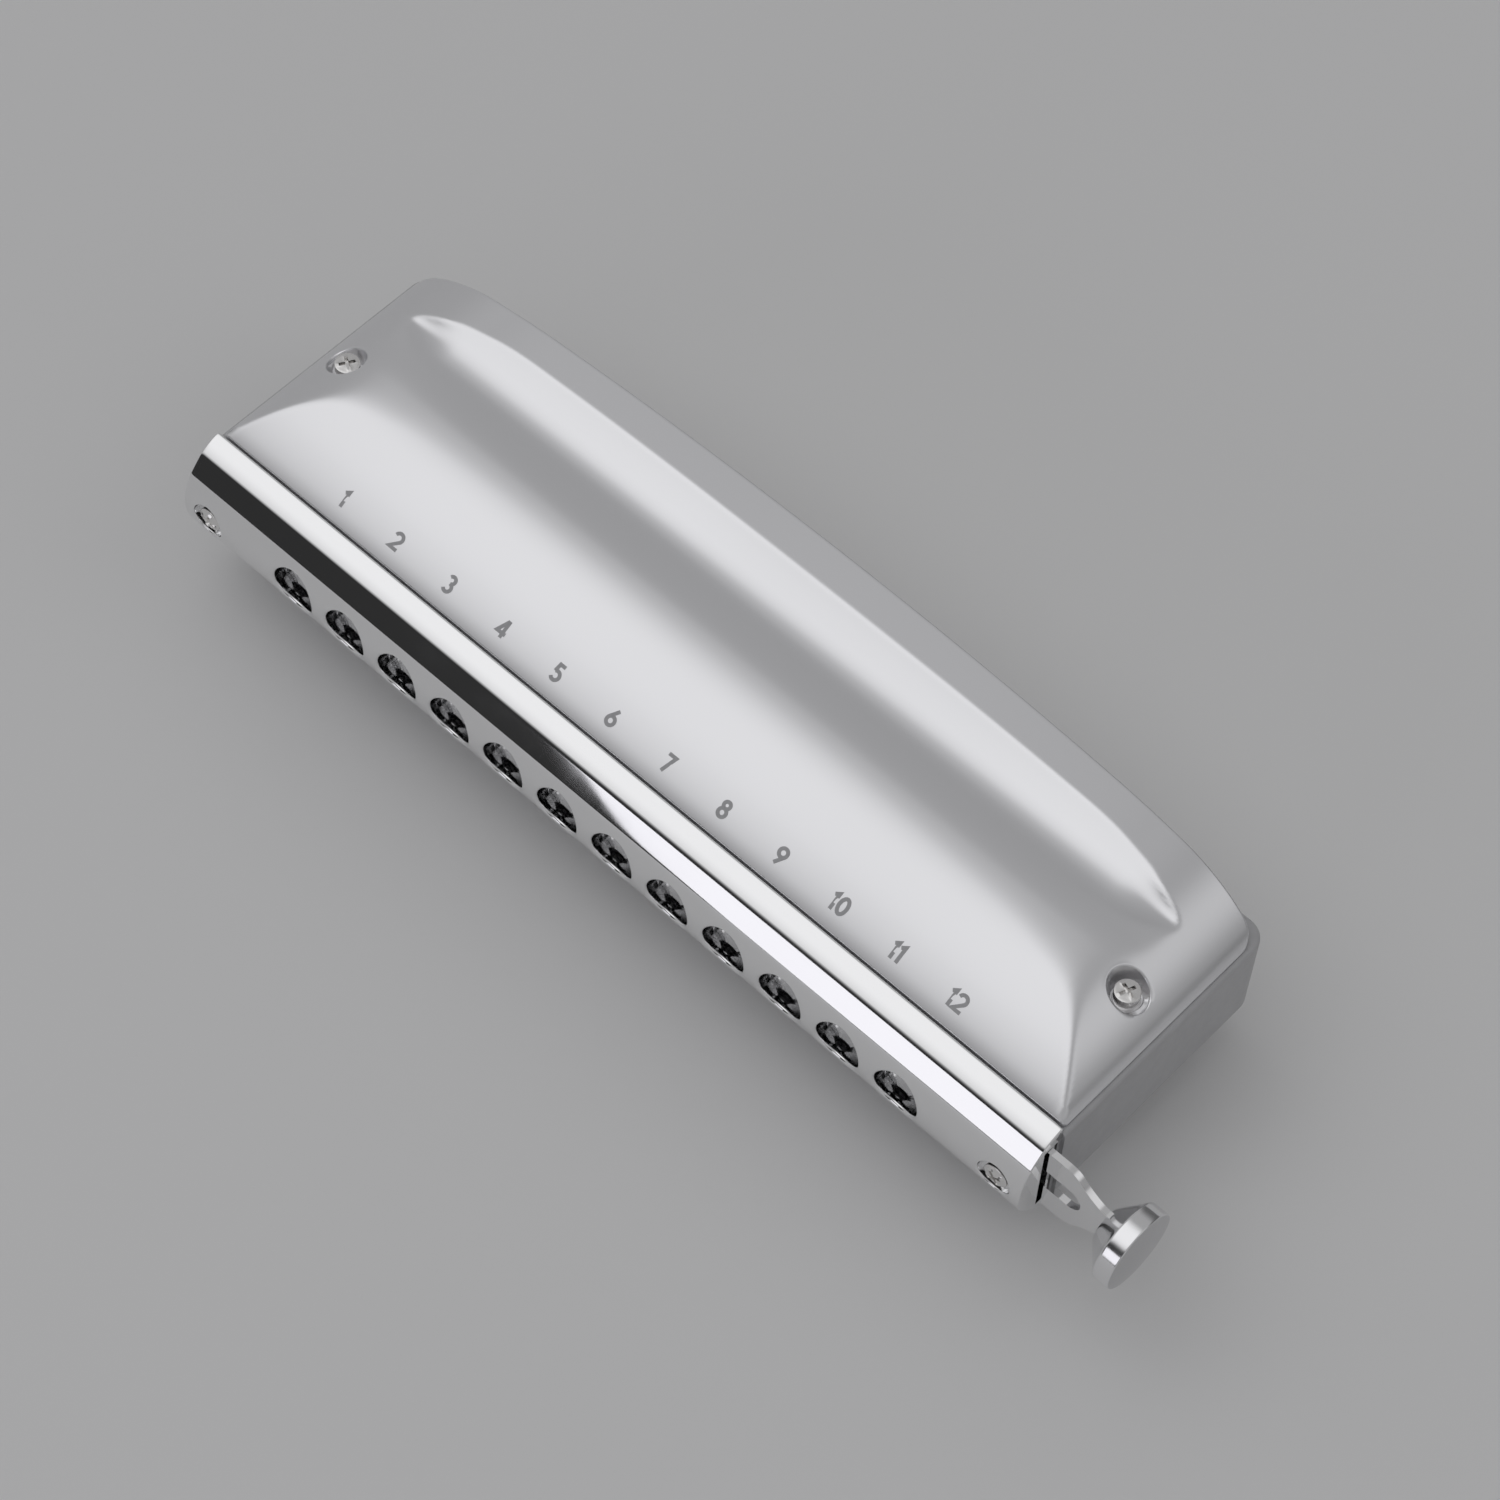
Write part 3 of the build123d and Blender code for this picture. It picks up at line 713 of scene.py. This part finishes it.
def front_face(z):
    """Depth of the mouthpiece's curved front at a height."""
    return MOUTH_FRONT + FRONT_RADIUS - math.sqrt(FRONT_RADIUS ** 2 - z ** 2)


def mouth_edge_profile():
    """Section from the curved front's upper patch edge to the top of the rear face."""
    points = [(front_face(z), z) for z in spread(HOLE_PATCH[1], CHAMFER_EDGE[1] - CHAMFER_LOW_ROUND, 4)]
    edge_a = Vector(CHAMFER_EDGE)
    edge_b = Vector(STRIP_EDGE)
    along = (edge_b - edge_a).normalized()
    outward = Vector((-along.y, along.x))
    start = edge_a + along * CHAMFER_LOW_ROUND
    end = edge_b - along * CHAMFER_HIGH_ROUND
    for t in spread(0, 1, 8):
        points.append(tuple(start + (end - start) * t + outward * CHAMFER_CROWN * 4 * t * (1 - t)))
    strip = curve_through([
        (STRIP_EDGE[0], STRIP_EDGE[1], 0.66),
        (-1.7, 8.53, 0.46),
        (-STRIP_REAR_ROUND, 8.98, 0.16),
    ])
    on_edge = edge_b - along * CHAMFER_HIGH_ROUND * STRIP_EDGE_SHARE
    points.append(tuple(on_edge + Vector((0, -STRIP_EDGE_DROP))))
    points += [(y, strip(y)) for y in spread(STRIP_EDGE[0] + CHAMFER_HIGH_ROUND, -STRIP_REAR_ROUND, 12)]
    centre = (-STRIP_REAR_ROUND, strip(-STRIP_REAR_ROUND) - STRIP_REAR_ROUND)
    for a in spread(math.pi / 2, 0, 8)[1:]:
        depth = centre[0] + STRIP_REAR_ROUND * math.cos(a)
        points.append((depth, centre[1] + STRIP_REAR_ROUND * math.sin(a)))
    return points


def mouthpiece():
    """Polished bar: sloping strips, chamfers, curved front with twelve holes, pocket for the slide."""
    skin = Skin()
    screw_inner = MOUTH_SCREW - MOUTH_SCREW_PATCH[0]
    screw_outer = MOUTH_SCREW + MOUTH_SCREW_PATCH[0]
    hole_end = HOLE_PLACES[-1] + HOLE_PATCH[0]
    flat_end = MOUTH_HALF - END_ROUND
    columns = spread(-hole_end, hole_end, HOLE_COUNT * PATCH_STEPS)
    right = spread(hole_end, screw_inner, 8)[1:] + spread(screw_inner, screw_outer, PATCH_STEPS)[1:]
    right += spread(screw_outer, flat_end, 2)[1:]
    columns = [-v for v in reversed(right)] + columns + right
    columns = [round(v, 6) for v in columns]
    middle = spread(-HOLE_PATCH[1], HOLE_PATCH[1], PATCH_STEPS)

    # curved front between the patches
    front_rows = [[(x, front_face(z), z) for x in columns] for z in middle]

    def in_patch(j, i):
        x = (columns[i] + columns[i + 1]) / 2
        return abs(x) < hole_end or screw_inner < abs(x) < screw_outer

    skin.rows(front_rows, skip=in_patch)
    profile = mouth_edge_profile()
    for up in (1, -1):
        skin.rows([[(x, y, up * z) for x in columns] for y, z in profile])
    # rounded rims at both ends
    outline = [(y, -z) for y, z in reversed(profile)]
    outline += [(front_face(z), z) for z in middle[1:-1]]
    outline += profile
    centre = Vector(SECTION_MIDDLE)
    for end in (-1, 1):
        rings = []
        for a in spread(0, math.pi / 2, 4):
            inset = END_ROUND * (1 - math.cos(a))
            ring = []
            for y, z in outline:
                toward = centre - Vector((y, z))
                moved = Vector((y, z)) + toward.normalized() * inset
                ring.append((end * (flat_end + END_ROUND * math.sin(a)), min(moved.x, 0.0), moved.y))
            rings.append(ring)
        skin.rows(rings)
        face = list(rings[-1])
        if end == 1:
            # the pocket is open at the button's end
            face += [
                (MOUTH_HALF, face[-1][1], POCKET_HALF),
                (MOUTH_HALF, POCKET_FLOOR, POCKET_HALF),
                (MOUTH_HALF, POCKET_FLOOR, -POCKET_HALF),
                (MOUTH_HALF, face[0][1], -POCKET_HALF),
            ]
        skin.polygon(face)
    # rear faces above and below the pocket
    rear_top = profile[-1][1]
    for up in (1, -1):
        skin.polygon([
            (-MOUTH_HALF, 0, up * rear_top),
            (MOUTH_HALF, 0, up * rear_top),
            (MOUTH_HALF, 0, up * POCKET_HALF),
            (-MOUTH_HALF, 0, up * POCKET_HALF),
        ])
        skin.polygon([
            (POCKET_LEFT, 0, up * POCKET_HALF),
            (MOUTH_HALF, 0, up * POCKET_HALF),
            (MOUTH_HALF, POCKET_FLOOR, up * POCKET_HALF),
            (POCKET_LEFT, POCKET_FLOOR, up * POCKET_HALF),
        ])
    skin.polygon([
        (POCKET_LEFT, 0, POCKET_HALF),
        (POCKET_LEFT, 0, -POCKET_HALF),
        (POCKET_LEFT, POCKET_FLOOR, -POCKET_HALF),
        (POCKET_LEFT, POCKET_FLOOR, POCKET_HALF),
    ])
    skin.polygon([
        (-MOUTH_HALF, 0, POCKET_HALF),
        (-MOUTH_HALF, 0, -POCKET_HALF),
        (POCKET_LEFT, 0, -POCKET_HALF),
        (POCKET_LEFT, 0, POCKET_HALF),
    ])
    # mouth holes, from their rounded rims to the pocket's floor
    for hole in HOLE_PLACES:
        rings = hole_rings((hole, 0), HOLE_PATCH, HOLE_RADIUS, HOLE_LIP)
        floor_circle = around_circle((hole, 0), HOLE_RADIUS, PATCH_STEPS)
        rings.append([(x, POCKET_FLOOR, z) for x, z in floor_circle])
        square = around_rectangle((hole, 0), (HOLE_PATCH[0], POCKET_HALF), PATCH_STEPS)
        rings.append([(x, POCKET_FLOOR, z) for x, z in square])
        skin.rows(rings, closed=True)
    for low, high in ((POCKET_LEFT, -hole_end), (hole_end, MOUTH_HALF)):
        skin.polygon([
            (low, POCKET_FLOOR, -POCKET_HALF),
            (high, POCKET_FLOOR, -POCKET_HALF),
            (high, POCKET_FLOOR, POCKET_HALF),
            (low, POCKET_FLOOR, POCKET_HALF),
        ])
    # screw recesses with a flat seat
    for side in (-1, 1):
        place = (side * MOUTH_SCREW, 0)
        rings = hole_rings(place, MOUTH_SCREW_PATCH, MOUTH_RECESS, MOUTH_RECESS_LIP)
        rings.append([(x, MOUTH_SEAT, z) for x, z in around_circle(place, MOUTH_RECESS, PATCH_STEPS)])
        rings.append([(x, MOUTH_SEAT, z) for x, z in around_circle(place, MOUTH_SCREW_HOLE, PATCH_STEPS)])
        skin.rows(rings, closed=True)
    piece = skin.build("mouthpiece_bar", MIRROR, sharp=24)
    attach(piece, "body")
    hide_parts("mouthpiece")


def hole_rings(centre, half, radius, lip):
    """Rings from a rectangle on the curved front in to a round hole, and over its rounded rim."""
    square = around_rectangle(centre, half, PATCH_STEPS)
    circle = around_circle(centre, radius + lip, PATCH_STEPS)
    rings = []
    for t in spread(0, 1, 5):
        rings.append([(x, front_face(z), z) for x, z in between(square, circle, t)])
    rim_depths = [p[1] for p in rings[-1]]
    for a in spread(0, math.pi / 2, 7)[1:]:
        circle = around_circle(centre, radius + lip * (1 - math.sin(a)), PATCH_STEPS)
        depth = lip * (1 - math.cos(a))
        rings.append([(x, y + depth, z) for (x, z), y in zip(circle, rim_depths)])
    return rings


mouthpiece()


# ---------------------------------------------------------------- screws, button and spring

SHANK_RADIUS = 1.0
HEAD_EDGE_ROUND = 0.12
# radius, height, dome and shank length of the heads
COVER_HEAD = (1.68, 1.75, 0.05, 8.0)
MOUTH_HEAD = (1.75, 0.8, 0.35, 12.0)
# the cross recess, as shares of the head's radius, and its rounded mouth
CROSS_REACH = 0.66
CROSS_HALF_WIDTH = 0.14
CROSS_DEPTH = 0.42
CROSS_TAPER = 0.75
CROSS_LIP = 0.04
CROSS_LIP_DROP = 0.06


def cross_radius(angle, reach, half_width):
    """Distance from the middle of a cross recess to its edge, in a direction."""
    a = abs(math.cos(angle))
    b = abs(math.sin(angle))
    large, small = max(a, b), min(a, b)
    return min(reach / large, max(half_width / small if small > 1e-6 else reach, half_width * math.sqrt(2)))


def screw_head(centre, out, sizes, turn):
    """Domed head with a cross recess. out is the direction that it faces."""
    radius, height, dome, shank_length = sizes
    steps = 96
    angles = [2 * math.pi * k / steps for k in range(steps)]
    edge = HEAD_EDGE_ROUND

    def ring(radii, level):
        return [(r * math.cos(a), r * math.sin(a), level) for r, a in zip(radii, angles)]

    def even(r, level):
        return ring([r] * steps, level)

    mouth = [cross_radius(a, radius * CROSS_REACH, radius * CROSS_HALF_WIDTH) for a in angles]
    pit = [r * CROSS_TAPER for r in mouth]
    rings = [even(SHANK_RADIUS, -shank_length), even(SHANK_RADIUS, 0), even(radius, 0)]
    rings.append(even(radius, height - edge))
    for a in spread(0, math.pi / 2, 4)[1:]:
        rings.append(even(radius - edge * (1 - math.cos(a)), height - edge + edge * math.sin(a)))
    for t in (0.25, 0.5, 0.75):
        radii = [(radius - edge) + t * (m - radius + edge) for m in mouth]
        rings.append(ring(radii, height + dome * smoothstep(0, 1, t)))
    rings.append(ring(mouth, height + dome))
    rings.append(ring([m - CROSS_LIP for m in mouth], height + dome - CROSS_LIP_DROP))
    rings.append(ring(pit, height + dome - radius * CROSS_DEPTH))
    facing = Vector((0, 0, 1)).rotation_difference(Vector(out)).to_matrix()
    rotation = facing @ Matrix.Rotation(turn, 3, "Z")
    placed = [[tuple(rotation @ Vector(p) + Vector(centre)) for p in row] for row in rings]
    skin = Skin()
    skin.rows(placed, closed=True)
    skin.polygon(placed[-1])
    skin.polygon(placed[0])
    return skin.build("screw", SCREW, sharp=35)


def join(pieces, name):
    """One object from several meshes."""
    work = bmesh.new()
    for piece in pieces:
        work.from_mesh(piece.data)
    mesh = bpy.data.meshes.new(name)
    work.to_mesh(mesh)
    work.free()
    for piece in pieces:
        bpy.data.objects.remove(piece)
    return finished(name, mesh, SCREW, sharp=35)


def screw_pair(name, node, pair):
    """Both screws of a node as one piece."""
    piece = join(pair, name)
    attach(piece, "body")
    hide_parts(node)


for node, up in (("upper_cover_screws", 1), ("lower_cover_screws", -1)):
    screw_pair(f"{node}_heads", node, [
        screw_head(
            (side * COVER_SCREW[0], COVER_SCREW[1], up * RECESS_FLOOR), (0, 0, up),
            COVER_HEAD, math.radians(20 + 50 * side),
        )
        for side in (-1, 1)
    ])
screw_pair("mouthpiece_screw_heads", "mouthpiece_screws", [
    screw_head((side * MOUTH_SCREW, MOUTH_SEAT, 0), (0, -1, 0), MOUTH_HEAD, math.radians(10 + 25 * side))
    for side in (-1, 1)
])


SLIDE_DEPTH = -2.1
BUTTON_RADIUS = 5.6
BUTTON_FACE = 86.0
BUTTON_TIP = 86.3
BUTTON_EDGE_ROUND = 0.18
# across and radius: the cone's small end, its two ends along the slope, and the rim
BUTTON_SMALL_END = [(80.9, 0.0), (80.9, 2.4)]
BUTTON_CONE = ((80.98, 2.52), (83.48, 5.35))
BUTTON_RIM = [(83.56, 5.5), (83.66, 5.57), (83.8, 5.6), (84.2, 5.6), (85.0, 5.6), (85.6, 5.6)]


def slide_button():
    """Cone, polished rim and domed face, turned about the slide's line."""
    (cone_left, cone_low), (cone_right, cone_high) = BUTTON_CONE
    points = list(BUTTON_SMALL_END)
    for t in spread(0, 1, 6):
        points.append((cone_left + (cone_right - cone_left) * t, cone_low + (cone_high - cone_low) * t))
    points += BUTTON_RIM
    edge = BUTTON_EDGE_ROUND
    flat = BUTTON_RADIUS - edge
    for a in spread(0, math.pi / 2, 5):
        points.append((BUTTON_FACE - edge + edge * math.sin(a), flat + edge * math.cos(a)))
    for t in spread(1, 0, 14)[1:]:
        points.append((BUTTON_FACE + (BUTTON_TIP - BUTTON_FACE) * (1 - t * t), flat * t))
    steps = 128
    angles = [2 * math.pi * k / steps for k in range(steps)]
    skin = Skin()
    skin.rows(
        [[(x, SLIDE_DEPTH + r * math.cos(a), r * math.sin(a)) for a in angles] for x, r in points],
        closed=True,
    )
    piece = skin.build("button_turned", BUTTON, sharp=24)
    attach(piece, "slide")
    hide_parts("slide_button")


slide_button()


def spring_wire():
    """The return spring's wire, copied from the part's mesh and fixed to the body."""
    node = frame["nodes"]["slide_spring"]
    mesh = node.data.copy()
    mesh.transform(node.matrix_world)
    piece = bpy.data.objects.new("spring_wire", mesh)
    bpy.context.scene.collection.objects.link(piece)
    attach(piece, "body")
    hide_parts("slide_spring")
    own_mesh(piece)


spring_wire()


# ---------------------------------------------------------------- stage, lights, camera

FLOOR_REACH = 6.0
FLOOR_GREY = 0.74


def make_floor():
    """Plain pale floor under the object. Its reach is in metres."""
    mesh = bpy.data.meshes.new("floor")
    corners = [(u * FLOOR_REACH, v * FLOOR_REACH, 0) for u, v in ((-1, -1), (1, -1), (1, 1), (-1, 1))]
    mesh.from_pydata(corners, [], [(0, 1, 2, 3)])
    piece = bpy.data.objects.new("floor", mesh)
    bpy.context.scene.collection.objects.link(piece)
    material = new_material("floor", (FLOOR_GREY, FLOOR_GREY, FLOOR_GREY), 0.0, 0.7)[0]
    mesh.materials.append(material)


def area_light(name, direction, distance, size, power, color, roll):
    """Rectangular lamp that faces the object from a direction, rolled by an angle in degrees."""
    lamp = bpy.data.lights.new(name, "AREA")
    lamp.shape = "RECTANGLE"
    lamp.size, lamp.size_y = size
    lamp.energy = power
    lamp.color = color
    holder = bpy.data.objects.new(name, lamp)
    bpy.context.scene.collection.objects.link(holder)
    aim = Vector(direction).normalized()
    holder.location = aim * distance
    facing = aim.to_track_quat("Z", "Y").to_matrix() @ Matrix.Rotation(math.radians(roll), 3, "Z")
    holder.rotation_euler = facing.to_euler()


FRONT = (-0.1, -1, 0.1)
OVERHEAD = (-0.34, -0.2, 0.92)
BEHIND_RIGHT = (0.63, 0.42, 0.66)
BACK_HORIZON = (0.35, 0.93, -0.25)
ROOM_LIGHT = 0.385
FRONT_LIGHT = 0.03
OVERHEAD_LIGHT = 0.58
BEHIND_LIGHT = 0.32
HORIZON_SHADE = 0.3
SURROUNDINGS = (0.99, 0.99, 1.0, 1)


def studio_world():
    """Grey room, dark in front and low behind, with a broad glow overhead and one behind to the right."""
    world = bpy.data.worlds.new("studio")
    world.use_nodes = True
    nodes = world.node_tree.nodes
    links = world.node_tree.links
    place = nodes.new("ShaderNodeTexCoord")

    def glow(direction, full, zero, low, high):
        """Brightness that falls from high to low, between two angles from a direction."""
        dot = nodes.new("ShaderNodeVectorMath")
        dot.operation = "DOT_PRODUCT"
        dot.inputs[1].default_value = Vector(direction).normalized()
        fade = nodes.new("ShaderNodeMapRange")
        fade.interpolation_type = "SMOOTHSTEP"
        fade.inputs["From Min"].default_value = math.cos(math.radians(zero))
        fade.inputs["From Max"].default_value = math.cos(math.radians(full))
        fade.inputs["To Min"].default_value = low
        fade.inputs["To Max"].default_value = high
        links.new(place.outputs["Generated"], dot.inputs[0])
        links.new(dot.outputs["Value"], fade.inputs["Value"])
        return fade.outputs["Result"]

    def combine(operation, a, b):
        node = nodes.new("ShaderNodeMath")
        node.operation = operation
        links.new(a, node.inputs[0])
        links.new(b, node.inputs[1])
        return node.outputs["Value"]

    room = glow(FRONT, 36, 46, ROOM_LIGHT, FRONT_LIGHT)
    overhead = glow(OVERHEAD, 14, 40, 0.0, OVERHEAD_LIGHT)
    behind = glow(BEHIND_RIGHT, 4, 24, 0.0, BEHIND_LIGHT)
    horizon = glow(BACK_HORIZON, 40, 62, 1.0, HORIZON_SHADE)
    shaded_room = combine("MULTIPLY", room, horizon)
    total = combine("ADD", combine("ADD", shaded_room, overhead), behind)
    links.new(total, nodes["Background"].inputs["Strength"])
    nodes["Background"].inputs["Color"].default_value = SURROUNDINGS
    bpy.context.scene.world = world


PANEL_DIRECTION = (-0.04, -0.96, 0.28)
PANEL_DISTANCE = 1.5
PANEL_SIZE = (1.0, 0.62)
PANEL_POWER = 2.1
PANEL_COLOR = (0.96, 0.95, 1.0)
PANEL_ROLL = 10


def lights():
    studio_world()
    area_light(
        "front_panel", PANEL_DIRECTION, PANEL_DISTANCE, PANEL_SIZE,
        PANEL_POWER, PANEL_COLOR, PANEL_ROLL,
    )


CAMERA_AZIMUTH = math.radians(40.42)
CAMERA_ELEVATION = math.radians(57.87)
CAMERA_ROLL = math.radians(3.25)
CAMERA_DISTANCE = 535.65
CAMERA_LENS = 103.09
CAMERA_TARGET = (6.24, 16.63, 0)


def camera():
    """Camera that looks down at the object from the front right."""
    back = Vector((
        math.sin(CAMERA_AZIMUTH) * math.cos(CAMERA_ELEVATION),
        -math.cos(CAMERA_AZIMUTH) * math.cos(CAMERA_ELEVATION),
        math.sin(CAMERA_ELEVATION),
    ))
    level = Vector((math.cos(CAMERA_AZIMUTH), math.sin(CAMERA_AZIMUTH), 0))
    upright = back.cross(level)
    right = math.cos(CAMERA_ROLL) * level + math.sin(CAMERA_ROLL) * upright
    up = math.cos(CAMERA_ROLL) * upright - math.sin(CAMERA_ROLL) * level
    data = bpy.data.cameras.new("camera")
    data.sensor_width = 36
    data.lens = CAMERA_LENS
    data.clip_start = 0.01
    holder = bpy.data.objects.new("camera", data)
    bpy.context.scene.collection.objects.link(holder)
    holder.matrix_world = Matrix((
        (right.x, up.x, back.x, 0),
        (right.y, up.y, back.y, 0),
        (right.z, up.z, back.z, 0),
        (0, 0, 0, 1),
    ))
    holder.location = at(*CAMERA_TARGET) + back * CAMERA_DISTANCE * MM
    bpy.context.scene.camera = holder


make_floor()
lights()
camera()
bpy.context.scene.view_settings.view_transform = "Standard"
